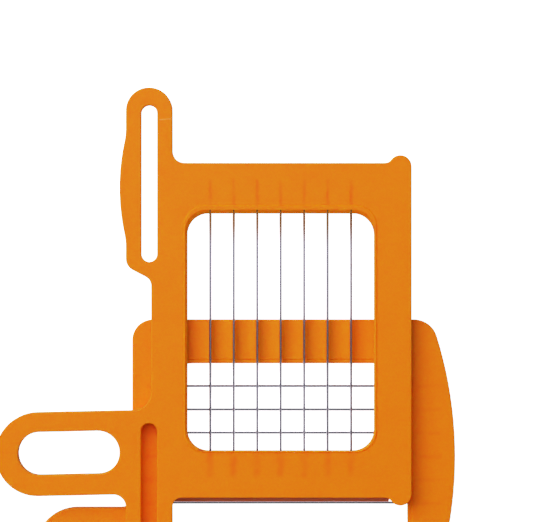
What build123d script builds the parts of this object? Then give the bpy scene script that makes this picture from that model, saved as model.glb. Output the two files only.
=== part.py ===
from build123d import *
import os

# Egg slicer: two moulded frames, each strung with thin steel strips.  The front
# frame lies on the rear one.  A shoe in the front frame's lower slot turns on a
# screw in the rear frame's corner, so the front frame slides and swings.
# Millimetres.  X right, Y along the slotted bar, Z out of the frames' faces.
# The origin is under the middle of the whole slicer.

# ---- driving dimensions ----------------------------------------------------
plate = 4.5                  # thickness of each frame
frame_gap = 0.3              # running gap between the two frames
rear_base = 0.0              # underside of the rear frame
front_base = rear_base + plate + frame_gap
clearance = 0.05             # between fitted pieces
overrun = 1.0                # how far a cutting shape runs past the plate

window_long = 56.5           # opening of each frame, along its strips
window_short = 44.5          # opening of each frame, across its strips
window_round = 5.0           # corner radius of an opening
edge_round = 0.25            # moulded edge of a front or rear face

# Front frame
front_mid = (13.06, 2.49)    # middle of the front opening
front_left, front_right = -17.68, 44.13
front_top, front_bottom = 42.68, -36.82
nub_radius = 2.65            # thumb nubs on the right corners
nub_rise = 1.85              # how far a nub stands past the edge
nub_blend = 2.0
bar_x = -18.2                # middle of the slotted bar
bar_width = 11.0
bar_half = 60.6              # the bar reaches this far up and down
bar_round = 5.45
bar_foot = 18.1              # lower left corner of the upper grip
foot_drop = 3.1              # its lower side slopes down to the frame
foot_round, foot_blend = 3.0, 2.5
bulge_top, bulge_bottom = 49.2, 24.4
bulge_depth = 1.5            # swell of the upper grip
bulge_blend = 12.0
slot_width = 3.87
slot_length = 37.3
slot_mid = 37.8              # the slots' middles are this far up and down
loop_radius = 9.9            # half height of the front finger loop
loop_end = -54.7             # left end of the front finger loop
loop_y = -26.2
loop_turn = 1.2              # the loop droops by this many degrees
loop_hole = (24.2, 10.3)
loop_hole_x = -37.3
loop_blend, loop_under_blend = 4.5, 3.0
bar_top_blend, bar_bottom_blend = 2.9, 2.25
# How far a window's slanted front edge stands back from its walls, and how far
# the rim round it reaches: left, right, bottom, top.  The rim then has a height.
front_lead = (0.5, 0.1, 0.1, 0.85)
front_rim = (0.85, 0.65, 0.4, 2.0)
front_rim_height = 0.25
rim_slope = 0.22             # how far the rim's outer wall leans
skirt = 1.2                  # the lower edge flares this much towards the rear

# Rear frame
rear_mid = (15.17, -27.26)   # middle of the rear opening
rear_left, rear_top, rear_bottom = -22.36, 5.39, -59.93
rear_corner = 4.8
wing_x = 54.7                # widest point of the right side
wing_corner_x = 49.0         # where its arc meets the top and the bottom
wing_round = 5.5
rear_loop_radius = 10.2
rear_loop_x = -35.6          # middle of the rear loop's end
rear_loop_hole = (14.0, 10.3)
rear_loop_hole_x = -33.7
rear_loop_blend = 2.7
rear_lead = (0.1, 0.1, 0.1, 0.25)
rear_rim = (0.86, 0.86, 0.86, 0.86)
rear_rim_height = -0.22      # a shallow step down instead of a raised rim

# Strips, and what holds them
strips = 7
pitch = 5.58
strip_thick = 0.55
strip_low, strip_high = 0.5, 2.95     # above a frame's rear face
slit_width = 0.3             # of the slits over the strips in a window's slanted edge
strip_reach = 7.4            # how far a strip runs into the frame
edge_bevel = 0.24            # height of the ground slopes of a strip's front edge
edge_flat = 0.27             # width left between them
tab_low = 1.35               # a strip's end is cut back up to here
tab_start = 1.5              # and from this far past the window
fold_length, fold_width, fold_height = 1.2, 1.05, 1.2
fold_play = 0.2              # room for a folded end in its pocket
clamp_length, clamp_width = 43.6, 6.8
clamp_start = 1.6            # from the window's edge
clamp_thick, clamp_round = 1.2, 0.6
clamp_recess = 0.1           # the bar lies this far inside the rear face
screw_spots = (-20.1, -2 * pitch + pitch / 2, 2 * pitch - pitch / 2, 20.1)
screw_head, screw_shank = 3.0, 1.5    # diameters
screw_sink, screw_length = 0.75, 3.2
screw_spare = 0.2            # the holes are this much deeper
drive_length, drive_width, drive_depth = 1.86, 0.35, 0.4    # cross recess

# Round marks that the mould's ejector pins leave in the rear faces
ejector_radius, ejector_depth = 1.6, 0.1
front_ejectors = [(x, y) for x in (-12.5, 39.7) for y in (36.7, 2.5, -31.0)]
front_ejectors.append((-52.0, loop_y))
rear_ejectors = [(x, y) for x in (15.2, 46.0) for y in (0.2, -54.6)]
rear_ejectors += [(-17.5, 0.2), (-43.2, -49.7)]

# Sliding pivot
pivot_y = -52.65
shoe_length = 7.3
shoe_side_gap = 0.1
shoe_round = 0.2
shank_radius = 1.0
peg_radius, peg_orbit, peg_depth = 0.6, 2.6, 1.4
swing = 100                  # degrees from closed to open
swing_spare = 2              # degrees of play at each end
washer_radius, washer_thick, washer_round = 3.75, 0.5, 0.12
spring_radius, spring_thick, spring_rise = 2.9, 0.25, 0.4
head_radius, head_height, head_round = 2.4, 1.1, 0.5
head_slot, head_slot_turn = 0.6, 45
nut_flats, nut_height = 4.0, 1.6
nut_pocket, thread_fit = 1.75, 0.01

front_face = front_base + plate
rear_face = rear_base + plate
clamp_pocket = clamp_recess + clamp_thick
no_growth = (0, 0, 0, 0)
strip_offsets = [(i - (strips - 1) / 2) * pitch for i in range(strips)]
os.makedirs("parts", exist_ok=True)


def save(part, name):
    """Label one finished piece and write it."""
    part.label = name
    export_step(part, f"parts/{name}.step")


def vertex_at(x, y):
    """The open sketch's vertex nearest to (x, y)."""
    return vertices().sort_by_distance((x, y))[0]


def strip_bed(middle, base, upright):
    """Cut grooves, clamp pockets and screw holes into the open frame's back.

    middle is the window's middle, base is the height of the frame's rear face,
    and upright says whether the strips run along Y.
    """
    turn = 0 if upright else 90
    groove_mid = (window_long + strip_reach + clearance) / 2
    fold_mid = window_long / 2 + strip_reach - fold_length / 2
    clamp_mid = window_long / 2 + clamp_start + clamp_width / 2
    rear = Plane((*middle, base)).rotated((0, 0, turn))
    sides = (-1, 1)
    grooves = [(x, side * groove_mid) for x in strip_offsets for side in sides]
    folds = [(x, side * fold_mid) for x in strip_offsets for side in sides]
    clamps = [(0, side * clamp_mid) for side in sides]
    holes = [(x, side * clamp_mid) for x in screw_spots for side in sides]
    with BuildSketch(rear) as groove_shapes:
        with Locations(*grooves):
            Rectangle(strip_thick + 2 * clearance, strip_reach + clearance)
    extrude(groove_shapes.sketch, strip_high + clearance, mode=Mode.SUBTRACT)
    with BuildSketch(rear) as fold_shapes:
        with Locations(*folds):
            Rectangle(fold_width + fold_play, fold_length + fold_play)
    fold_deep = tab_low + fold_height + clearance
    extrude(fold_shapes.sketch, fold_deep, mode=Mode.SUBTRACT)
    with BuildSketch(rear) as clamp_shapes:
        with Locations(*clamps):
            Rectangle(clamp_length + 2 * clearance, clamp_width + 2 * clearance)
    extrude(clamp_shapes.sketch, clamp_pocket, mode=Mode.SUBTRACT)
    with BuildSketch(rear) as hole_shapes:
        with Locations(*holes):
            Circle(screw_shank / 2 + clearance)
    extrude(hole_shapes.sketch, screw_length + screw_spare, mode=Mode.SUBTRACT)


def mark_ejectors(spots, base):
    """Sink the ejector pins' marks into the open frame's rear face."""
    with BuildSketch(Plane.XY.offset(base)) as marks:
        with Locations(*spots):
            Circle(ejector_radius)
    extrude(marks.sketch, ejector_depth, mode=Mode.SUBTRACT)


def grown_window(middle, size, height, grow):
    """A window outline at one height, grown by left, right, bottom and top."""
    left, right, bottom, top = grow
    x = middle[0] + (right - left) / 2
    y = middle[1] + (top - bottom) / 2
    with BuildSketch(Plane((x, y, height))) as outline:
        RectangleRounded(size[0] + left + right, size[1] + bottom + top, window_round)
    return outline.sketch


def open_window(middle, size, base, lead, rim, rim_height):
    """Cut the open frame's window, with a slanted front edge and a rim round it."""
    face = base + plate
    lip = face + max(rim_height, 0)
    edge_low = lip - max(lead)
    mode = Mode.ADD if rim_height > 0 else Mode.SUBTRACT
    lean = -rim_slope if rim_height > 0 else rim_slope
    rim_low, rim_high = sorted((face, face + rim_height))
    rim_foot = grown_window(middle, size, rim_low, rim)
    rim_top = grown_window(middle, size, rim_high, tuple(side + lean for side in rim))
    loft(Sketch() + [rim_foot, rim_top], mode=mode)
    walls = grown_window(middle, size, base, no_growth)
    extrude(walls, edge_low - base, mode=Mode.SUBTRACT)
    edge_back = grown_window(middle, size, edge_low, no_growth)
    edge_front = grown_window(middle, size, lip, lead)
    loft(Sketch() + [edge_back, edge_front], mode=Mode.SUBTRACT)


def round_plate():
    """Round the open frame's front and rear edges."""
    fillet(faces().sort_by(Axis.Z)[-1].edges(), edge_round)
    fillet(faces().sort_by(Axis.Z)[0].edges(), edge_round)


# ---- front frame -----------------------------------------------------------
front_window = (window_short, window_long)
nub_x = front_right - nub_radius
bar_left = bar_x - bar_width / 2
bar_right = bar_x + bar_width / 2
loop_mid = loop_end + loop_radius

with BuildPart() as front_frame:
    with BuildSketch(Plane.XY.offset(front_base)):
        with Locations(
            ((front_left + front_right) / 2, (front_top + front_bottom) / 2)
        ):
            RectangleRounded(
                front_right - front_left,
                front_top - front_bottom,
                nub_radius - nub_rise,
            )
        nub_top = front_top + nub_rise - nub_radius
        nub_bottom = front_bottom - nub_rise + nub_radius
        with Locations((nub_x, nub_top), (nub_x, nub_bottom)):
            Circle(nub_radius)
        with Locations((bar_x, 0)):
            RectangleRounded(bar_width, 2 * bar_half, bar_round)
        with BuildLine():
            swell = ThreePointArc(
                (bar_left, bulge_top),
                (bar_left - bulge_depth, (bulge_top + bulge_bottom) / 2),
                (bar_left, bulge_bottom),
            )
            Line(swell @ 1, swell @ 0)
        make_face()
        with BuildLine():
            Polyline(
                (bar_left - overrun, bar_foot),
                (bar_left, bar_foot),
                (front_left, bar_foot - foot_drop),
                (front_left, loop_y),
                (bar_left - overrun, loop_y),
                close=True,
            )
        make_face(mode=Mode.SUBTRACT)
        with Locations(((loop_mid + bar_right) / 2, loop_y)):
            SlotCenterToCenter(bar_right - loop_mid, 2 * loop_radius, loop_turn)
        for end in (bulge_top, bulge_bottom):
            fillet(vertex_at(bar_left, end), bulge_blend)
        fillet(vertex_at(bar_left, bar_foot), foot_round)
        fillet(vertex_at(front_left, bar_foot - foot_drop), foot_blend)
        fillet(vertex_at(bar_right, front_top), bar_top_blend)
        fillet(vertex_at(bar_right, front_bottom), bar_bottom_blend)
        fillet(vertex_at(front_left, loop_y + loop_radius), loop_blend)
        fillet(vertex_at(bar_left, loop_y - loop_radius), loop_under_blend)
        for edge in (front_top, front_bottom):
            fillet(vertex_at(nub_x - nub_radius, edge), nub_blend)
        with Locations((bar_x, slot_mid), (bar_x, -slot_mid)):
            SlotOverall(slot_length, slot_width, 90, mode=Mode.SUBTRACT)
        with Locations((loop_hole_x, loop_y)):
            SlotOverall(*loop_hole, loop_turn, mode=Mode.SUBTRACT)
    extrude(amount=plate)
    round_plate()
    open_window(
        front_mid, front_window, front_base, front_lead, front_rim, front_rim_height
    )
    # the flared lower edge, between the slotted bar and the nub
    with BuildSketch(Plane((bar_right, 0, 0), x_dir=(0, 1, 0), z_dir=(1, 0, 0))):
        with BuildLine():
            Polyline(
                (front_bottom + edge_round, front_face - edge_round),
                (front_bottom, front_face - edge_round),
                (front_bottom - skirt, front_base),
                (front_bottom + edge_round, front_base),
                close=True,
            )
        make_face()
    extrude(amount=nub_x - nub_radius - bar_right)
    strip_bed(front_mid, front_base, upright=True)
    mark_ejectors(front_ejectors, front_base)
    # slits over the strips in the slanted upper edge of the window
    slit_length = front_lead[3]
    slit_mid = (window_long + slit_length) / 2
    with BuildSketch(Plane((*front_mid, front_base + strip_high))):
        with Locations(*[(x, slit_mid) for x in strip_offsets]):
            Rectangle(slit_width, slit_length)
    extrude(amount=plate, mode=Mode.SUBTRACT)
save(front_frame.part, "front_frame")

# ---- rear frame ------------------------------------------------------------
rear_window = (window_long, window_short)
loop_centre_y = rear_bottom + rear_loop_radius
pivot = (bar_x, pivot_y)

with BuildPart() as rear_frame:
    with BuildSketch(Plane.XY.offset(rear_base)):
        with BuildLine():
            side = ThreePointArc(
                (wing_corner_x, rear_top),
                (wing_x, (rear_top + rear_bottom) / 2),
                (wing_corner_x, rear_bottom),
            )
            Polyline(
                side @ 1,
                (rear_left, rear_bottom),
                (rear_left, rear_top),
                side @ 0,
            )
        make_face()
        fillet(vertex_at(rear_left, rear_top), rear_corner)
        fillet(vertex_at(wing_corner_x, rear_top), wing_round)
        fillet(vertex_at(wing_corner_x, rear_bottom), wing_round)
        with Locations(((rear_loop_x + bar_x) / 2, loop_centre_y)):
            SlotCenterToCenter(bar_x - rear_loop_x, 2 * rear_loop_radius)
        loop_top = loop_centre_y + rear_loop_radius
        fillet(vertex_at(rear_left, loop_top), rear_loop_blend)
        with Locations((rear_loop_hole_x, loop_centre_y)):
            SlotOverall(*rear_loop_hole, mode=Mode.SUBTRACT)
    extrude(amount=plate)
    round_plate()
    open_window(rear_mid, rear_window, rear_base, rear_lead, rear_rim, rear_rim_height)
    strip_bed(rear_mid, rear_base, upright=False)
    mark_ejectors(rear_ejectors, rear_base)
    # bore, nut pocket and the curved groove that stops the swing
    with BuildSketch(Plane((*pivot, rear_base))):
        Circle(shank_radius + clearance)
    extrude(amount=plate, mode=Mode.SUBTRACT)
    with BuildSketch(Plane((*pivot, rear_base))):
        RegularPolygon(nut_flats / 2 + clearance, 6, major_radius=False)
    extrude(amount=nut_pocket, mode=Mode.SUBTRACT)
    with BuildSketch(Plane((*pivot, rear_face))):
        start, end = 90 - swing_spare, 90 + swing + swing_spare
        groove = Edge.make_circle(peg_orbit, start_angle=start, end_angle=end)
        SlotArc(groove, 2 * (peg_radius + 2 * clearance))
    extrude(amount=-peg_depth, mode=Mode.SUBTRACT)
save(rear_frame.part, "rear_frame")


# ---- strips ----------------------------------------------------------------
def make_strip(middle, base, offset, upright):
    """One steel strip, ground along its front edge, with folded ends."""
    turn = 90 if upright else 0
    half = window_long / 2 + strip_reach
    tab_half = window_long / 2 + tab_start
    x = middle[0] + (offset if upright else 0)
    y = middle[1] + (0 if upright else offset)
    along = Plane((x, y, base)).rotated((0, 0, turn))
    across = Plane(along.origin, x_dir=along.y_dir, z_dir=along.x_dir)
    side = Plane(along.origin, x_dir=along.x_dir, z_dir=-along.y_dir)
    with BuildPart() as strip:
        with BuildSketch(across):
            with BuildLine():
                Polyline(
                    (-strip_thick / 2, strip_low),
                    (strip_thick / 2, strip_low),
                    (strip_thick / 2, strip_high - edge_bevel),
                    (edge_flat / 2, strip_high),
                    (-edge_flat / 2, strip_high),
                    (-strip_thick / 2, strip_high - edge_bevel),
                    close=True,
                )
            make_face()
        extrude(amount=half, both=True)
        with BuildSketch(side):
            with Locations(
                ((half + tab_half) / 2, tab_low / 2),
                (-(half + tab_half) / 2, tab_low / 2),
            ):
                Rectangle(half - tab_half, tab_low)
        extrude(amount=strip_thick, both=True, mode=Mode.SUBTRACT)
        with BuildSketch(side):
            with Locations(
                (half - fold_length / 2, tab_low + fold_height / 2),
                (-half + fold_length / 2, tab_low + fold_height / 2),
            ):
                Rectangle(fold_length, fold_height)
        extrude(amount=fold_width / 2, both=True)
    return strip.part


for number, offset in enumerate(strip_offsets, start=1):
    save(make_strip(front_mid, front_base, offset, True), f"front_blade_{number}")
    save(make_strip(rear_mid, rear_base, -offset, False), f"rear_blade_{number}")


# ---- clamp bars and their screws -------------------------------------------
def clamp_plane(middle, base, upright, end):
    """The plane under one clamp bar, x along the bar."""
    reach = end * (window_long / 2 + clamp_start + clamp_width / 2)
    x = middle[0] + (0 if upright else reach)
    y = middle[1] + (reach if upright else 0)
    return Plane((x, y, base)).rotated((0, 0, 0 if upright else 90))


def make_clamp(plane):
    """One clamp bar with countersunk holes in its rear face."""
    with BuildPart() as clamp:
        with BuildSketch(plane.offset(clamp_recess)):
            RectangleRounded(clamp_length, clamp_width, clamp_round)
        extrude(amount=clamp_thick)
        with BuildSketch(plane):
            with Locations(*[(spot, 0) for spot in screw_spots]):
                Circle(screw_shank / 2 + clearance)
        extrude(amount=clamp_pocket, mode=Mode.SUBTRACT)
        with Locations(plane.offset(clamp_recess)):
            with Locations(*[(spot, 0) for spot in screw_spots]):
                Cone(
                    screw_head / 2 + clearance,
                    screw_shank / 2 + clearance,
                    screw_sink + clearance,
                    align=(Align.CENTER, Align.CENTER, Align.MIN),
                    mode=Mode.SUBTRACT,
                )
    return clamp.part


def make_screws(planes):
    """The countersunk screws of one frame, a separate solid each."""
    low = (Align.CENTER, Align.CENTER, Align.MIN)
    with BuildPart() as screws:
        for plane in planes:
            spots = [(spot, 0) for spot in screw_spots]
            with Locations(plane.offset(clamp_recess)):
                with Locations(*spots):
                    Cone(screw_head / 2, screw_shank / 2, screw_sink, align=low)
                    Cylinder(screw_shank / 2, screw_length - clamp_recess, align=low)
                    Box(
                        drive_length, drive_width, drive_depth,
                        align=low, mode=Mode.SUBTRACT,
                    )
                    Box(
                        drive_width, drive_length, drive_depth,
                        align=low, mode=Mode.SUBTRACT,
                    )
    return screws.part


front_planes = [clamp_plane(front_mid, front_base, True, end) for end in (1, -1)]
rear_planes = [clamp_plane(rear_mid, rear_base, False, end) for end in (-1, 1)]
save(make_clamp(front_planes[0]), "front_clamp_top")
save(make_clamp(front_planes[1]), "front_clamp_bottom")
save(make_clamp(rear_planes[0]), "rear_clamp_left")
save(make_clamp(rear_planes[1]), "rear_clamp_right")
save(make_screws(front_planes), "front_clamp_screws")
save(make_screws(rear_planes), "rear_clamp_screws")

# ---- sliding pivot ---------------------------------------------------------
shoe_low = rear_face + clearance
shoe_high = front_face + clearance
washer_low = shoe_high + clearance
spring_low = washer_low + washer_thick
head_low = spring_low + spring_rise

with BuildPart() as slot_shoe:
    with BuildSketch(Plane((*pivot, shoe_low))):
        SlotOverall(shoe_length, slot_width - 2 * shoe_side_gap, 90)
    extrude(amount=shoe_high - shoe_low)
    chamfer(faces().sort_by(Axis.Z)[-1].edges(), shoe_round)
    with BuildSketch(Plane((pivot[0], pivot[1] + peg_orbit, shoe_low))):
        Circle(peg_radius)
    extrude(amount=2 * clearance - peg_depth)
    with BuildSketch(Plane((*pivot, shoe_low))):
        Circle(shank_radius + clearance)
    extrude(amount=shoe_high - shoe_low, mode=Mode.SUBTRACT)
save(slot_shoe.part, "slot_shoe")

with BuildPart() as pivot_washer:
    with BuildSketch(Plane((*pivot, washer_low))):
        Circle(washer_radius)
        Circle(shank_radius + clearance, mode=Mode.SUBTRACT)
    extrude(amount=washer_thick)
    fillet(edges().filter_by(GeomType.CIRCLE).group_by(SortBy.RADIUS)[-1], washer_round)
save(pivot_washer.part, "pivot_washer")

with BuildPart() as spring_washer:
    with BuildSketch(Plane((*pivot, spring_low), x_dir=(1, 0, 0), z_dir=(0, -1, 0))):
        with BuildLine():
            Polyline(
                (spring_radius, 0),
                (spring_radius, spring_thick),
                (shank_radius + clearance, spring_rise),
                (shank_radius + clearance, spring_rise - spring_thick),
                close=True,
            )
        make_face()
    revolve(axis=Axis((*pivot, 0), (0, 0, 1)))
save(spring_washer.part, "spring_washer")

with BuildPart() as pivot_screw:
    with BuildSketch(Plane((*pivot, head_low))):
        Circle(head_radius)
    extrude(amount=head_height)
    fillet(faces().sort_by(Axis.Z)[-1].edges(), head_round)
    with BuildSketch(Plane((*pivot, head_low + head_height))):
        Rectangle(2 * head_radius, head_slot, head_slot_turn)
    extrude(amount=-head_slot, mode=Mode.SUBTRACT)
    with BuildSketch(Plane((*pivot, rear_base + 2 * clearance))):
        Circle(shank_radius)
    extrude(amount=head_low - rear_base - 2 * clearance)
save(pivot_screw.part, "pivot_screw")

with BuildPart() as pivot_nut:
    with BuildSketch(Plane((*pivot, rear_base + 2 * clearance))):
        RegularPolygon(nut_flats / 2, 6, major_radius=False)
        Circle(shank_radius + thread_fit, mode=Mode.SUBTRACT)
    extrude(amount=nut_height)
save(pivot_nut.part, "pivot_nut")
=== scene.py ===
"""Looks of the egg slicer: two moulded frames strung with steel strips.

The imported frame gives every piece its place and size.  This script dresses the
carried-over nodes, models the screws and the nut that finish them, and lights
the slicer lying face up on a pale floor.  Lengths are metres, angles radians.
"""

import logging
import math
from dataclasses import dataclass
from enum import Enum

import bpy
from mathutils import Matrix, Vector

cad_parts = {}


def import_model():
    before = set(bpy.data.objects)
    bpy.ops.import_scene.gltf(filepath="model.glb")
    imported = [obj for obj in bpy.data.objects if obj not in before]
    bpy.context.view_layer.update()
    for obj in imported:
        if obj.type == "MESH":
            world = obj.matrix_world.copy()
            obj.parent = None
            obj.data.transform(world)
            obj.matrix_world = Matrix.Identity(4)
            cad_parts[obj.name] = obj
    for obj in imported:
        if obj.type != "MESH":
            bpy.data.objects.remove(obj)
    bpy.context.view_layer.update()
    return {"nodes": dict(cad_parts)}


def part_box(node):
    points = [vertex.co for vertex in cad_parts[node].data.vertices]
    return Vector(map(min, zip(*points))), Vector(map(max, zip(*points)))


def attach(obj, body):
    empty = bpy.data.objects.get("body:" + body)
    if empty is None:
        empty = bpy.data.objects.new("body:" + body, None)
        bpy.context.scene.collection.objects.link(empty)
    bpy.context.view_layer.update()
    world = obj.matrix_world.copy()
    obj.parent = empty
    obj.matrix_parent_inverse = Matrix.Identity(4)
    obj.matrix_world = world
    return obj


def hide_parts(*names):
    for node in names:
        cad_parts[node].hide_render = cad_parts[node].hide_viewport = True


LOG = logging.getLogger("egg_slicer")
MM = 0.001
X, Y, Z = 0, 1, 2


# ---- node helpers -------------------------------------------------------------
def linear(hex_colour: str) -> tuple[float, float, float, float]:
    """Turn an sRGB hex colour to the linear RGBA that sockets take.

    Args:
        hex_colour: six hex digits, with or without a leading hash.

    Returns:
        The linear colour with full alpha.
    """
    digits = hex_colour.lstrip("#")
    parts = [int(digits[i:i + 2], 16) / 255 for i in (0, 2, 4)]
    line = [p / 12.92 if p <= 0.04045 else ((p + 0.055) / 1.055) ** 2.4 for p in parts]
    return (line[0], line[1], line[2], 1.0)


def add(tree: bpy.types.NodeTree, kind: str, inputs: dict | None = None,
        **settings: object) -> bpy.types.Node:
    """Add one node with its settings, its input values and its links.

    Args:
        tree: the material's node tree.
        kind: the node's type name.
        inputs: input name or number to a value, or to the socket linked to it.
        settings: attributes of the node itself.

    Returns:
        The new node.
    """
    node = tree.nodes.new(kind)
    for name, value in settings.items():
        setattr(node, name, value)
    for key, value in (inputs or {}).items():
        if isinstance(value, bpy.types.NodeSocket):
            tree.links.new(value, node.inputs[key])
        else:
            node.inputs[key].default_value = value
    return node


def maths(tree: bpy.types.NodeTree, operation: str, *values: object) -> bpy.types.NodeSocket:
    """Add one Math node and return its result.

    Args:
        tree: the material's node tree.
        operation: the Math node's operation.
        values: numbers or sockets, in the order of the node's inputs.

    Returns:
        The node's output socket.
    """
    node = add(tree, "ShaderNodeMath", dict(enumerate(values)), operation=operation)
    return node.outputs[0]


def fade(tree: bpy.types.NodeTree, value: bpy.types.NodeSocket, full: float,
         gone: float) -> bpy.types.NodeSocket:
    """Fall smoothly from 1 where a value is `full` to 0 where it is `gone`.

    Args:
        tree: the material's node tree.
        value: the value that drives the fade.
        full: the value at which the result is 1.
        gone: the value at which the result is 0.

    Returns:
        The faded amount.
    """
    node = add(tree, "ShaderNodeMapRange", {
        "Value": value, "From Min": full, "From Max": gone, "To Min": 1.0, "To Max": 0.0},
        interpolation_type="SMOOTHSTEP")
    return node.outputs[0]


def noise(tree: bpy.types.NodeTree, place: bpy.types.NodeSocket, size: float,
          detail: float = 2.0) -> bpy.types.NodeSocket:
    """Add cloudy noise whose blotches are about `size` across.

    Args:
        tree: the material's node tree.
        place: the coordinates to read.
        size: the width of a blotch in metres.
        detail: how many finer octaves are added.

    Returns:
        The noise from 0 to 1.
    """
    node = add(tree, "ShaderNodeTexNoise", {
        "Vector": place, "Scale": 1 / size, "Detail": detail})
    return node.outputs["Fac"]


def blend(tree: bpy.types.NodeTree, amount: object, base: object,
          other: object) -> bpy.types.NodeSocket:
    """Mix two colours by an amount, each a socket or a colour value."""
    node = add(tree, "ShaderNodeMix", {"Factor": amount, "A": base, "B": other},
               data_type="RGBA")
    return node.outputs["Result"]


def lean(tree: bpy.types.NodeTree) -> bpy.types.NodeSocket:
    """Read how a face lies: 1 where it is level, falling to 0 on an upright wall."""
    normal = add(tree, "ShaderNodeNewGeometry").outputs["True Normal"]
    up = add(tree, "ShaderNodeSeparateXYZ", {0: normal}).outputs[Z]
    return maths(tree, "ABSOLUTE", up)


def start_material(name: str) -> tuple[bpy.types.Material, bpy.types.NodeTree]:
    """Make an empty node material.

    Args:
        name: the material's name.

    Returns:
        The material and its cleared node tree.
    """
    material = bpy.data.materials.new(name)
    material.use_nodes = True
    material.node_tree.nodes.clear()
    return material, material.node_tree


def end_material(tree: bpy.types.NodeTree, shader: bpy.types.Node) -> None:
    """Link a shader to the material's output."""
    add(tree, "ShaderNodeOutputMaterial", {"Surface": shader.outputs[0]})


# ---- mesh helpers ---------------------------------------------------------------
def dress(piece: bpy.types.Object, material: bpy.types.Material) -> None:
    """Give a piece one material all over."""
    piece.data.materials.clear()
    piece.data.materials.append(material)
    for face in piece.data.polygons:
        face.material_index = 0


def only(piece: bpy.types.Object) -> None:
    """Select one piece alone and make it active."""
    bpy.ops.object.select_all(action="DESELECT")
    piece.select_set(True)
    bpy.context.view_layer.objects.active = piece


def settle(piece: bpy.types.Object, name: str) -> bpy.types.Object:
    """Name a piece and move its place and size into its mesh.

    Args:
        piece: the piece, wherever it stands.
        name: its new name.

    Returns:
        The same piece, with its object at the origin.
    """
    only(piece)
    bpy.ops.object.transform_apply(location=True, rotation=True, scale=True)
    piece.name = piece.data.name = name
    return piece


def grow(step: float, height: float, scale: float) -> None:
    """Extrude the selected face along Z and scale the new one.

    Args:
        step: how far the face moves.
        height: where it ends, the middle of the scaling.
        scale: the new face's size against the old one's.
    """
    bpy.ops.mesh.extrude_region_move(TRANSFORM_OT_translate={"value": (0, 0, step)})
    bpy.ops.transform.resize(value=(scale, scale, 1), center_override=(0, 0, height))


def use_modifier(piece: bpy.types.Object, kind: str, **settings: object) -> None:
    """Add one modifier with its settings and apply it."""
    only(piece)
    modifier = piece.modifiers.new(kind.lower(), kind)
    for name, value in settings.items():
        setattr(modifier, name, value)
    bpy.ops.object.modifier_apply(modifier=modifier.name)


def cut(piece: bpy.types.Object, tool: bpy.types.Object, operation: str) -> None:
    """Cut a piece with a tool, which is then deleted."""
    use_modifier(piece, "BOOLEAN", object=tool, operation=operation, solver="EXACT")
    bpy.data.objects.remove(tool)


# ---- finishes -------------------------------------------------------------------
class Lay(Enum):
    """Which way a metal's rolling or grinding lines run, as a stretch of noise."""

    ALONG_X = (0.04, 1.0, 1.0)
    ALONG_Y = (1.0, 0.04, 1.0)
    EVEN = (1.0, 1.0, 1.0)


@dataclass(frozen=True)
class SinkRow:
    """One row of sink marks, where strip ends lie under a frame's face."""

    low: float
    high: float
    half_width: float
    strength: float


@dataclass(frozen=True)
class SinkMarks:
    """Narrow sink marks in line with a frame's strips, bumped in and painted a darker shade.
    """

    across: int
    first: float
    pitch: float
    count: int
    rows: tuple[SinkRow, ...]
    fade_length: float = 1.2 * MM
    waver: float = 0.35 * MM
    waver_size: float = 1.5 * MM
    patch_size: float = 2.5 * MM
    patch_detail: float = 6.0
    patch_gain: float = 2.4
    patch_start: float = -0.5


@dataclass(frozen=True)
class KnitLine:
    """A pale line where two streams of melt met across a narrow bar."""

    start: tuple[float, float]
    end_x: float
    slope: float = 0.08
    half_width: float = 0.22 * MM
    strength: float = 0.55
    waver: float = 0.5 * MM
    waver_size: float = 1.0 * MM
    fade_length: float = 0.3 * MM


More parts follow.
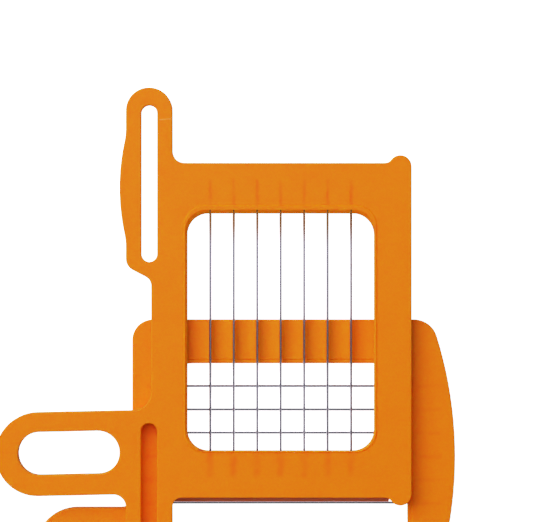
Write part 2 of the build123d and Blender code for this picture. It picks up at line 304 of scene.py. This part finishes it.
@dataclass(frozen=True)
class MouldedAbs:
    """Injection-moulded ABS, coloured through, with a satin moulded face.

    The pigment lets red light travel some millimetres, so thin edges and shaded
    faces glow redder than lit ones.  The skin is cloudy, sinks a little over the
    strip ends, where it is also painted a darker shade, and carries the fine line
    where the two halves of the mould met.
    Faces are satin, and the walls that slid out of the mould are matt.  The flared
    edge, which is known by how far it leans, is painted a dark brown shade.
    """

    name: str
    parting_height: float
    marks: SinkMarks | None = None
    knit: KnitLine | None = None
    colour: str = "#FF8A0A"
    cloudy: str = "#FF820A"
    # Painted shade: the darker colour laid over the sink marks.
    sunk: str = "#F6720A"
    pale: str = "#FFB464"
    # Painted shade: the dark brown laid on the flared edge.
    flare_shade: str = "#BC5220"
    spread: tuple[float, float, float] = (1.0, 0.4, 0.2)
    depth: float = 1.5 * MM
    roughness: float = 0.42
    gloss: float = 0.06
    cloud_size: float = 7.0 * MM
    speck_size: float = 0.55 * MM
    grain_size: float = 0.12 * MM
    parting_half: float = 0.05 * MM
    cloud_gain: float = 0.8
    speck_gain: float = 3.0
    speck_start: float = -1.4
    grain_height: float = 0.15
    relief: float = 0.02 * MM
    refraction: float = 1.53
    matt_roughness: float = 1.0
    wall_lean: tuple[float, float] = (0.1, 0.5)
    face_lean: tuple[float, float] = (0.5, 0.95)
    flare_lean: float = 0.27
    flare_half: float = 0.07

    def sink_amount(self, tree: bpy.types.NodeTree,
                    place: bpy.types.NodeSocket) -> bpy.types.NodeSocket:
        """Work out how deep the skin has sunk over the strip ends.

        Args:
            tree: the material's node tree.
            place: the Object coordinates.

        Returns:
            The amount from 0 to 1.
        """
        marks = self.marks
        axes = add(tree, "ShaderNodeSeparateXYZ", {0: place}).outputs
        ripple = maths(tree, "MULTIPLY_ADD", noise(tree, place, marks.waver_size),
                       2 * marks.waver, -marks.waver - marks.first)
        shifted = maths(tree, "ADD", axes[marks.across], ripple)
        step = maths(tree, "DIVIDE", shifted, marks.pitch)
        cell = maths(tree, "SUBTRACT", step, maths(tree, "ROUND", step))
        aside = maths(tree, "MULTIPLY", maths(tree, "ABSOLUTE", cell), marks.pitch)
        on_strip = maths(tree, "COMPARE", step, (marks.count - 1) / 2, marks.count / 2)
        patches = noise(tree, place, marks.patch_size, marks.patch_detail)
        uneven = maths(tree, "MULTIPLY_ADD", patches, marks.patch_gain, marks.patch_start)
        along = axes[Y - marks.across]
        total: object = 0.0
        for row in marks.rows:
            middle, half = (row.low + row.high) / 2, (row.high - row.low) / 2
            off = maths(tree, "ABSOLUTE", maths(tree, "SUBTRACT", along, middle))
            in_row = fade(tree, off, half - marks.fade_length, half)
            line = fade(tree, aside, 0.0, row.half_width)
            mark = maths(tree, "MULTIPLY", maths(tree, "MULTIPLY", in_row, line), row.strength)
            total = maths(tree, "ADD", mark, total)
        return maths(tree, "MULTIPLY", maths(tree, "MULTIPLY", total, uneven), on_strip)

    def knit_amount(self, tree: bpy.types.NodeTree,
                    place: bpy.types.NodeSocket) -> bpy.types.NodeSocket:
        """Work out where the pale knit line lies.

        Args:
            tree: the material's node tree.
            place: the Object coordinates.

        Returns:
            The amount from 0 to 1.
        """
        knit = self.knit
        axes = add(tree, "ShaderNodeSeparateXYZ", {0: place}).outputs
        slanted = maths(tree, "MULTIPLY_ADD", axes[X], -knit.slope,
                        knit.slope * knit.start[X] - knit.start[Y])
        ripple = maths(tree, "MULTIPLY_ADD", noise(tree, place, knit.waver_size), knit.waver,
                       slanted)
        aside = maths(tree, "ABSOLUTE", maths(tree, "ADD", axes[Y], ripple))
        middle = (knit.start[X] + knit.end_x) / 2
        reach = maths(tree, "ABSOLUTE", maths(tree, "SUBTRACT", axes[X], middle))
        half = (knit.end_x - knit.start[X]) / 2
        line = maths(tree, "MULTIPLY", fade(tree, aside, 0.0, knit.half_width),
                     fade(tree, reach, half - knit.fade_length, half))
        return maths(tree, "MULTIPLY", line, knit.strength)

    def parting_amount(self, tree: bpy.types.NodeTree,
                       place: bpy.types.NodeSocket) -> bpy.types.NodeSocket:
        """Work out where the mould's parting line runs round the side walls.

        Args:
            tree: the material's node tree.
            place: the Object coordinates.

        Returns:
            The amount from 0 to 1.
        """
        height = add(tree, "ShaderNodeSeparateXYZ", {0: place}).outputs[Z]
        off = maths(tree, "ABSOLUTE", maths(tree, "SUBTRACT", height, self.parting_height))
        wall = fade(tree, lean(tree), *self.wall_lean)
        return maths(tree, "MULTIPLY", fade(tree, off, 0.0, self.parting_half), wall)

    def flare_amount(self, tree: bpy.types.NodeTree) -> bpy.types.NodeSocket:
        """Work out where the painted shade on the flared edge lies, by how far it leans.

        Args:
            tree: the material's node tree.

        Returns:
            The amount from 0 to 1.
        """
        off = maths(tree, "ABSOLUTE", maths(tree, "SUBTRACT", lean(tree), self.flare_lean))
        return fade(tree, off, 0.5 * self.flare_half, self.flare_half)

    def build(self) -> bpy.types.Material:
        """Make the material.

        Returns:
            The finished node material.
        """
        material, tree = start_material(self.name)
        place = add(tree, "ShaderNodeTexCoord").outputs["Object"]
        specks = maths(tree, "MULTIPLY_ADD", noise(tree, place, self.speck_size),
                       self.speck_gain, self.speck_start)
        cloud = maths(tree, "MULTIPLY_ADD", noise(tree, place, self.cloud_size),
                      self.cloud_gain, specks)
        tint = blend(tree, cloud, linear(self.colour), linear(self.cloudy))
        height = maths(tree, "MULTIPLY", noise(tree, place, self.grain_size),
                       self.grain_height)
        if self.marks:
            # Over the strip ends the skin is bumped in and also painted a darker shade.
            sink = self.sink_amount(tree, place)
            tint = blend(tree, sink, tint, linear(self.sunk))
            height = maths(tree, "SUBTRACT", height, sink)
        if self.knit:
            line = self.knit_amount(tree, place)
            tint = blend(tree, line, tint, linear(self.pale))
        # Painted shade: the flared edge, picked out by its lean, is painted dark brown.
        tint = blend(tree, self.flare_amount(tree), tint, linear(self.flare_shade))
        height = maths(tree, "ADD", height, self.parting_amount(tree, place))
        bump = add(tree, "ShaderNodeBump", {
            "Height": height, "Strength": 1.0, "Distance": self.relief})
        rough = maths(tree, "MULTIPLY_ADD", fade(tree, lean(tree), *self.face_lean),
                      self.matt_roughness - self.roughness, self.roughness)
        shader = add(tree, "ShaderNodeBsdfPrincipled", {
            "Base Color": tint, "Normal": bump.outputs["Normal"],
            "Roughness": rough, "IOR": self.refraction, "Specular IOR Level": self.gloss,
            "Subsurface Weight": 1.0, "Subsurface Radius": self.spread,
            "Subsurface Scale": self.depth})
        end_material(tree, shader)
        return material


@dataclass(frozen=True)
class PaintedReflection:
    """Painted reflection of the orange window wall: brown on a strip where it leaves the
    plastic, fading along one axis.
    """

    along: int
    full: float
    gone: float
    # Brown of the painted reflection of the orange wall.
    colour: str = "#5E3A1C"


@dataclass(frozen=True)
class RolledSteel:
    """Cold-rolled steel: bright, with fine lines along the way it was rolled.

    Its upright sides are bright, and the level faces, the ground slopes and the edge between,
    are painted a darker shade.
    """

    name: str
    colour: str = "#E4E2EA"
    # Painted shade: level faces take this darker colour.
    edge: str = "#38343E"
    roughness: float = 0.22
    lay: Lay = Lay.EVEN
    line_width: float = 0.12 * MM
    # Painted reflection of the orange window wall near the strip's far end.
    painted_reflection: PaintedReflection | None = None
    line_detail: float = 4.0
    line_rough: float = 0.14
    smear_size: float = 6.0 * MM
    smear_rough: float = 0.08
    smoothest: float = 0.1
    line_strength: float = 0.25
    line_height: float = 0.01 * MM
    side_lean: tuple[float, float] = (0.2, 0.7)

    def build(self) -> bpy.types.Material:
        """Make the material.

        Returns:
            The finished node material.
        """
        material, tree = start_material(self.name)
        place = add(tree, "ShaderNodeTexCoord").outputs["Object"]
        stretch = add(tree, "ShaderNodeMapping", {"Vector": place, "Scale": self.lay.value})
        lines = noise(tree, stretch.outputs[0], self.line_width, self.line_detail)
        rough = maths(tree, "MULTIPLY_ADD", lines, self.line_rough,
                      self.roughness - self.smoothest)
        rough = maths(tree, "MULTIPLY_ADD", noise(tree, place, self.smear_size),
                      self.smear_rough, rough)
        # Painted shade: level faces get the darker edge colour, upright sides the bright one.
        side = fade(tree, lean(tree), *self.side_lean)
        tint = blend(tree, side, linear(self.edge), linear(self.colour))
        # Painted reflection: brown where the strip leaves the plastic, standing for the orange
        # wall it mirrors.
        if self.painted_reflection:
            film = self.painted_reflection
            axes = add(tree, "ShaderNodeSeparateXYZ", {0: place}).outputs
            amount = fade(tree, axes[film.along], film.full, film.gone)
            tint = blend(tree, amount, tint, linear(film.colour))
        bump = add(tree, "ShaderNodeBump", {
            "Height": lines, "Strength": self.line_strength, "Distance": self.line_height})
        shader = add(tree, "ShaderNodeBsdfPrincipled", {
            "Base Color": tint, "Metallic": 1.0, "Roughness": rough,
            "Normal": bump.outputs["Normal"]})
        end_material(tree, shader)
        return material


@dataclass(frozen=True)
class TurnedSteel:
    """Turned and nickel-plated steel, with fine rings left by the cutting tool."""

    name: str
    centre: tuple[float, float]
    colour: str = "#D6D3CE"
    roughness: float = 0.22
    ring_width: float = 0.16 * MM
    ring_wander: float = 0.6
    ring_rough: float = 0.08
    ring_strength: float = 0.35
    ring_height: float = 0.01 * MM

    def build(self) -> bpy.types.Material:
        """Make the material.

        Returns:
            The finished node material.
        """
        material, tree = start_material(self.name)
        place = add(tree, "ShaderNodeTexCoord").outputs["Object"]
        from_axis = add(tree, "ShaderNodeMapping", {
            "Vector": place, "Location": (-self.centre[X], -self.centre[Y], 0.0)})
        # A Wave texture repeats about every 0.314 units, so its scale is pi over ten widths.
        rings = add(tree, "ShaderNodeTexWave", {
            "Vector": from_axis.outputs[0], "Scale": math.pi / (10 * self.ring_width),
            "Distortion": self.ring_wander, "Detail": 1.0},
            wave_type="RINGS", rings_direction="Z")
        ring = rings.outputs["Fac"]
        rough = maths(tree, "MULTIPLY_ADD", ring, self.ring_rough,
                      self.roughness - self.ring_rough / 2)
        bump = add(tree, "ShaderNodeBump", {
            "Height": ring, "Strength": self.ring_strength, "Distance": self.ring_height})
        shader = add(tree, "ShaderNodeBsdfPrincipled", {
            "Base Color": linear(self.colour), "Metallic": 1.0, "Roughness": rough,
            "Normal": bump.outputs["Normal"]})
        end_material(tree, shader)
        return material


@dataclass(frozen=True)
class NaturalNylon:
    """Moulded natural nylon: milky and a little waxy."""

    name: str = "moulded_natural_nylon"
    colour: str = "#ECE6D4"
    paler: str = "#F4F0E4"
    cloud_size: float = 2.0 * MM
    grain_size: float = 0.1 * MM
    grain_strength: float = 0.3
    grain_height: float = 0.01 * MM
    roughness: float = 0.45
    refraction: float = 1.53
    milkiness: float = 0.25
    depth: float = 1.0 * MM

    def build(self) -> bpy.types.Material:
        """Make the material."""
        material, tree = start_material(self.name)
        place = add(tree, "ShaderNodeTexCoord").outputs["Object"]
        tint = blend(tree, noise(tree, place, self.cloud_size), linear(self.colour),
                     linear(self.paler))
        bump = add(tree, "ShaderNodeBump", {
            "Height": noise(tree, place, self.grain_size), "Strength": self.grain_strength,
            "Distance": self.grain_height})
        shader = add(tree, "ShaderNodeBsdfPrincipled", {
            "Base Color": tint, "Roughness": self.roughness, "IOR": self.refraction,
            "Normal": bump.outputs["Normal"], "Subsurface Weight": self.milkiness,
            "Subsurface Scale": self.depth})
        end_material(tree, shader)
        return material


@dataclass(frozen=True)
class PaleSweep:
    """A white paper sweep, lit through from below so that it hardly shows shadow."""

    name: str = "white_paper_sweep"
    lit: float = 1.9
    paper: str = "#F4F4F4"
    glow: str = "#FFFFFF"
    roughness: float = 0.9

    def build(self) -> bpy.types.Material:
        """Make the material."""
        material, tree = start_material(self.name)
        shader = add(tree, "ShaderNodeBsdfPrincipled", {
            "Base Color": linear(self.paper), "Roughness": self.roughness,
            "Emission Color": linear(self.glow), "Emission Strength": self.lit})
        end_material(tree, shader)
        return material


# ---- sub-assemblies -----------------------------------------------------------
@dataclass
class ClampScrews:
    """The countersunk cross-recess screws of one frame, heads to the rear."""

    side: str
    clamps: tuple[str, str]
    along: int
    spots: tuple[float, ...] = (-20.1 * MM, -8.37 * MM, 8.37 * MM, 20.1 * MM)
    head: float = 3.0 * MM
    land: float = 0.1 * MM
    sink: float = 0.75 * MM
    shank: float = 1.5 * MM
    root: float = 0.82
    tip: float = 0.3
    thread_pitch: float = 0.4 * MM
    threads: int = 5
    recess_long: float = 1.8 * MM
    recess_wide: float = 0.36 * MM
    recess_deep: float = 0.5 * MM
    recess_taper: float = 0.6
    break_edge: float = 0.04 * MM
    turn_step: float = math.radians(37)
    corners: int = 32

    def recess_tool(self, turn: float) -> bpy.types.Object:
        """Model the tapered blade that cuts one slot of the cross.

        Args:
            turn: its angle round the screw's axis.

        Returns:
            The blade, with its place in its mesh.
        """
        bpy.ops.mesh.primitive_cube_add(size=1.0, rotation=(0, 0, turn))
        tool = bpy.context.object
        tool.scale = (self.recess_long, self.recess_wide, 2 * self.recess_deep)
        settle(tool, "recess_tool")
        bpy.ops.object.mode_set(mode="EDIT")
        bpy.ops.mesh.select_all(action="DESELECT")
        bpy.ops.object.mode_set(mode="OBJECT")
        for vertex in tool.data.vertices:
            vertex.select = vertex.co.z > 0
        bpy.ops.object.mode_set(mode="EDIT")
        taper = self.recess_taper
        bpy.ops.transform.resize(value=(taper, taper, 1), center_override=(0, 0, 0))
        bpy.ops.object.mode_set(mode="OBJECT")
        return tool

    def model_one(self) -> bpy.types.Object:
        """Model one screw on the Z axis, its head's face at the origin.

        Returns:
            The screw.
        """
        bpy.ops.mesh.primitive_circle_add(
            vertices=self.corners, radius=self.head / 2, fill_type="NGON")
        screw = bpy.context.object
        bpy.ops.object.mode_set(mode="EDIT")
        bpy.ops.mesh.select_all(action="SELECT")
        grow(self.land, self.land, 1.0)
        grow(self.sink - self.land, self.sink, self.shank / self.head)
        height = self.sink
        for _ in range(self.threads):
            for scale in (self.root, 1 / self.root):
                height += self.thread_pitch / 2
                grow(self.thread_pitch / 2, height, scale)
        height += self.thread_pitch
        grow(self.thread_pitch, height, self.tip)
        bpy.ops.mesh.select_all(action="SELECT")
        bpy.ops.mesh.normals_make_consistent(inside=False)
        bpy.ops.object.mode_set(mode="OBJECT")
        use_modifier(screw, "BEVEL", width=self.break_edge, segments=2,
                     limit_method="ANGLE", angle_limit=math.radians(40))
        for turn in (0.0, math.pi / 2):
            cut(screw, self.recess_tool(turn), "DIFFERENCE")
        only(screw)
        bpy.ops.object.shade_smooth_by_angle(angle=math.radians(30))
        return screw

    def build(self, material: bpy.types.Material) -> bpy.types.Object:
        """Copy the screw to every hole, join the copies and dress them.

        Args:
            material: their finish.

        Returns:
            The joined screws, each a loose part of one mesh.
        """
        pattern = self.model_one()
        low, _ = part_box(f"{self.side}_clamp_screws")
        copies = []
        for clamp in self.clamps:
            near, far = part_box(f"{self.side}_clamp_{clamp}")
            middle = [(a + b) / 2 for a, b in zip(near, far)]
            for spot in self.spots:
                place = [middle[X], middle[Y], low[Z]]
                place[self.along] += spot
                turn = Matrix.Rotation(len(copies) * self.turn_step, 4, "Z")
                mesh = pattern.data.copy()
                mesh.transform(Matrix.Translation(place) @ turn)
                copies.append(bpy.data.objects.new("screw", mesh))
                bpy.context.scene.collection.objects.link(copies[-1])
        bpy.data.objects.remove(pattern)
        bpy.ops.object.select_all(action="DESELECT")
        for copy in copies:
            copy.select_set(True)
        bpy.context.view_layer.objects.active = copies[0]
        bpy.ops.object.join()
        screws = settle(bpy.context.object, f"{self.side}_cross_recess_screws")
        dress(screws, material)
        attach(screws, f"{self.side}_frame")
        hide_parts(f"{self.side}_clamp_screws")
        LOG.info("%s: %d screws", screws.name, len(copies))
        return screws


@dataclass
class StrungFrame:
    """One moulded frame with its strips, clamp bars and screws."""

    side: str
    clamps: tuple[str, str]
    across: int
    lay: Lay
    row_widths: tuple[float, float]
    row_depths: tuple[float, float]
    # Darker colour painted on the strips' level faces as shade.
    strip_top_shade: str
    strips: int = 7
    strip_end: float = 7.4 * MM
    low_row: tuple[float, float] = (0.8 * MM, 1.5 * MM)
    high_row: tuple[float, float] = (1.2 * MM, 1.2 * MM)
    knit: KnitLine | None = None
    # Length of the brown painted reflection at the strips' far end.
    reflection_length: float = 0.0
    reflection_full: float = 0.2
    zinc: str = "#B6B7BA"
    plating: str = "#CFCFD0"

    def sink_marks(self) -> SinkMarks:
        """Find where the strip ends lie under the face.

        Returns:
            The sink marks, from the strips' own boxes.
        """
        first = [sum(ends) / 2 for ends in zip(*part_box(f"{self.side}_blade_1"))]
        last = [sum(ends) / 2 for ends in zip(*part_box(f"{self.side}_blade_{self.strips}"))]
        start, stop = sorted((first[self.across], last[self.across]))
        low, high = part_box(f"{self.side}_blade_1")
        along = Y - self.across
        below = SinkRow(low[along] + self.low_row[0],
                        low[along] + self.strip_end + self.low_row[1],
                        self.row_widths[0], self.row_depths[0])
        above = SinkRow(high[along] - self.strip_end + self.high_row[0],
                        high[along] + self.high_row[1],
                        self.row_widths[1], self.row_depths[1])
        pitch = (stop - start) / (self.strips - 1)
        return SinkMarks(self.across, start, pitch, self.strips, (below, above))

    def painted_reflection(self) -> PaintedReflection | None:
        """Find where the strips leave the plastic at their far end.

        Returns:
            The painted reflection there, or nothing where the strips have none.
        """
        if not self.reflection_length:
            return None
        along = Y - self.across
        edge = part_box(f"{self.side}_blade_1")[1][along] - self.strip_end
        full = edge - self.reflection_full * self.reflection_length
        return PaintedReflection(along, full, edge - self.reflection_length)

    def build(self, nodes: dict[str, bpy.types.Object]) -> None:
        """Dress every node of this frame and model its screws.

        Args:
            nodes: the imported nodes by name.
        """
        low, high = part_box(f"{self.side}_frame")
        plastic = MouldedAbs(f"{self.side}_moulded_orange_abs", (low[Z] + high[Z]) / 2,
                             self.sink_marks(), self.knit).build()
        strip = RolledSteel(f"{self.side}_stainless_strip", edge=self.strip_top_shade,
                            lay=self.lay, painted_reflection=self.painted_reflection()).build()
        sheet = RolledSteel(f"{self.side}_galvanised_sheet", self.zinc, self.zinc,
                            roughness=0.36, lay=self.lay, line_width=0.2 * MM).build()
        screw = RolledSteel(f"{self.side}_zinc_plated_screw", self.plating, self.plating,
                            roughness=0.24).build()
        dress(nodes[f"{self.side}_frame"], plastic)
        for number in range(1, self.strips + 1):
            dress(nodes[f"{self.side}_blade_{number}"], strip)
        for clamp in self.clamps:
            dress(nodes[f"{self.side}_clamp_{clamp}"], sheet)
        ClampScrews(self.side, self.clamps, self.across).build(screw)
        LOG.info("%s frame dressed", self.side)


@dataclass
class SlidingPivot:
    """The shoe, screw, washers and nut that join the two frames."""

    flats: float = 4.0 * MM
    bore: float = 1.01 * MM
    corner_chamfer: float = 0.24 * MM
    corner_trim: float = 0.06 * MM
    break_edge: float = 0.04 * MM

    def model_nut(self, low: Vector, high: Vector) -> bpy.types.Object:
        """Model the hexagon nut with chamfered corners and a bore.

        Args:
            low: lowest corner of the nut's place.
            high: highest corner of the nut's place.

        Returns:
            The nut.
        """
        middle = (low + high) / 2
        height = high.z - low.z
        corner = self.flats / math.sqrt(3)
        bpy.ops.mesh.primitive_cylinder_add(
            vertices=6, radius=corner, depth=height, location=middle,
            rotation=(0, 0, math.pi / 6))
        nut = settle(bpy.context.object, "pivot_hexagon_nut")
        bpy.ops.mesh.primitive_cylinder_add(
            vertices=64, radius=corner - self.corner_trim, depth=height, location=middle)
        blank = settle(bpy.context.object, "nut_blank")
        use_modifier(blank, "BEVEL", width=self.corner_chamfer, segments=1,
                     limit_method="ANGLE", angle_limit=math.radians(40))
        cut(nut, blank, "INTERSECT")
        bpy.ops.mesh.primitive_cylinder_add(
            vertices=48, radius=self.bore, depth=2 * height, location=middle)
        cut(nut, settle(bpy.context.object, "nut_bore"), "DIFFERENCE")
        use_modifier(nut, "BEVEL", width=self.break_edge, segments=2,
                     limit_method="ANGLE", angle_limit=math.radians(30))
        only(nut)
        bpy.ops.object.shade_smooth_by_angle(angle=math.radians(25))
        return nut

    def build(self, nodes: dict[str, bpy.types.Object]) -> None:
        """Dress the pivot's nodes and model its nut.

        Args:
            nodes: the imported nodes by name.
        """
        low, high = (Vector(corner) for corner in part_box("pivot_nut"))
        axis = ((low.x + high.x) / 2, (low.y + high.y) / 2)
        turned = TurnedSteel("turned_nickel_plated_steel", axis).build()
        spring = RolledSteel("blued_spring_steel", "#8F9199", "#8F9199", 0.3).build()
        for name in ("pivot_washer", "pivot_screw"):
            dress(nodes[name], turned)
        dress(nodes["spring_washer"], spring)
        dress(nodes["slot_shoe"], NaturalNylon().build())
        nut = self.model_nut(low, high)
        dress(nut, turned)
        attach(nut, "rear_frame")
        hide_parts("pivot_nut")
        LOG.info("pivot dressed, %s modelled", nut.name)


# ---- stage --------------------------------------------------------------------
@dataclass
class Studio:
    """Pale floor, one broad soft light at the upper left, and a high camera."""

    aim: tuple[float, float] = (11.94 * MM, 19.40 * MM)
    view_width: float = 131.0 * MM
    camera_rise: float = 840.0 * MM
    sensor: float = 36.0
    floor_half: float = 3.0
    floor_gap: float = 0.02 * MM
    key_power: float = 14.6
    key_size: tuple[float, float] = (1.1, 1.1)
    key_distance: float = 1.0
    key_lean: tuple[float, float] = (math.radians(-26), math.radians(26))
    sky: str = "#FFFFFF"
    sky_strength: float = 0.21
    film_white: float = 1.7
    film_shoulder: tuple[tuple[float, float], ...] = (
        (0.3, 0.3), (0.5, 0.515), (0.75, 0.695), (1.0, 0.765), (1.25, 0.8), (1.45, 0.88))

    def lay_floor(self) -> None:
        """Lay the sweep under the slicer."""
        bpy.ops.mesh.primitive_plane_add(
            size=2 * self.floor_half, location=(0, 0, -self.floor_gap))
        floor = bpy.context.object
        floor.name = "paper_sweep"
        dress(floor, PaleSweep().build())
        floor.visible_diffuse = False

    def hang_key(self) -> None:
        """Hang the softbox, which leans to the left and to the top."""
        lamp = bpy.data.lights.new("key_softbox", "AREA")
        lamp.shape = "RECTANGLE"
        lamp.energy, (lamp.size, lamp.size_y) = self.key_power, self.key_size
        holder = bpy.data.objects.new("key_softbox", lamp)
        bpy.context.scene.collection.objects.link(holder)
        back = Vector((math.tan(self.key_lean[X]), math.tan(self.key_lean[Y]), 1)).normalized()
        across = (Vector((1, 0, 0)) - back.x * back).normalized()
        turn = Matrix((across, back.cross(across), back)).transposed()
        holder.matrix_world = Matrix.Translation(self.key_distance * back) @ turn.to_4x4()

    def set_sky(self) -> None:
        """Set the faint even light from all round."""
        world = bpy.data.worlds.new("studio_sky")
        world.use_nodes = True
        background = world.node_tree.nodes["Background"]
        background.inputs["Color"].default_value = linear(self.sky)
        background.inputs["Strength"].default_value = self.sky_strength
        bpy.context.scene.world = world

    def set_camera(self) -> None:
        """Place the camera straight above, where faces show their true outline."""
        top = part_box("front_frame")[1][Z]
        camera = bpy.data.cameras.new("overhead_camera")
        camera.sensor_width = self.sensor
        camera.lens = self.sensor * self.camera_rise / self.view_width
        holder = bpy.data.objects.new("overhead_camera", camera)
        holder.location = (*self.aim, top + self.camera_rise)
        bpy.context.scene.collection.objects.link(holder)
        bpy.context.scene.camera = holder

    def set_film(self) -> None:
        """Roll off the brightest tones, as film does, so that lit faces keep their hue."""
        view = bpy.context.scene.view_settings
        view.view_transform = "Standard"
        view.use_curve_mapping = True
        mapping = view.curve_mapping
        mapping.white_level = (self.film_white,) * 3
        master = mapping.curves[3]
        for light, tone in self.film_shoulder:
            master.points.new(light / self.film_white, tone)
        mapping.update()

    def build(self) -> None:
        """Set floor, lights, camera and film."""
        self.set_camera()
        self.lay_floor()
        self.hang_key()
        self.set_sky()
        self.set_film()
        LOG.info("studio ready")


def main() -> None:
    """Load the frame, dress and finish every sub-assembly, and set the studio."""
    logging.basicConfig(level=logging.INFO, format="%(name)s: %(message)s")
    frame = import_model()
    bpy.ops.object.select_all(action="DESELECT")
    nodes = frame["nodes"]
    knit = KnitLine((-15.9 * MM, 53.2 * MM), -12.8 * MM)
    # Front strips: painted top shade #504C58 and an 8 mm painted reflection near the window
    # wall; rear strips: painted top shade #38343E.
    StrungFrame("front", ("top", "bottom"), X, Lay.ALONG_Y, (1.4 * MM, 0.7 * MM),
                (0.9, 1.0), "#504C58", knit=knit, reflection_length=8.0 * MM).build(nodes)
    StrungFrame("rear", ("left", "right"), Y, Lay.ALONG_X, (0.9 * MM, 0.9 * MM),
                (0.4, 0.4), "#38343E").build(nodes)
    SlidingPivot().build(nodes)
    Studio().build()


if __name__ == "__main__":
    main()
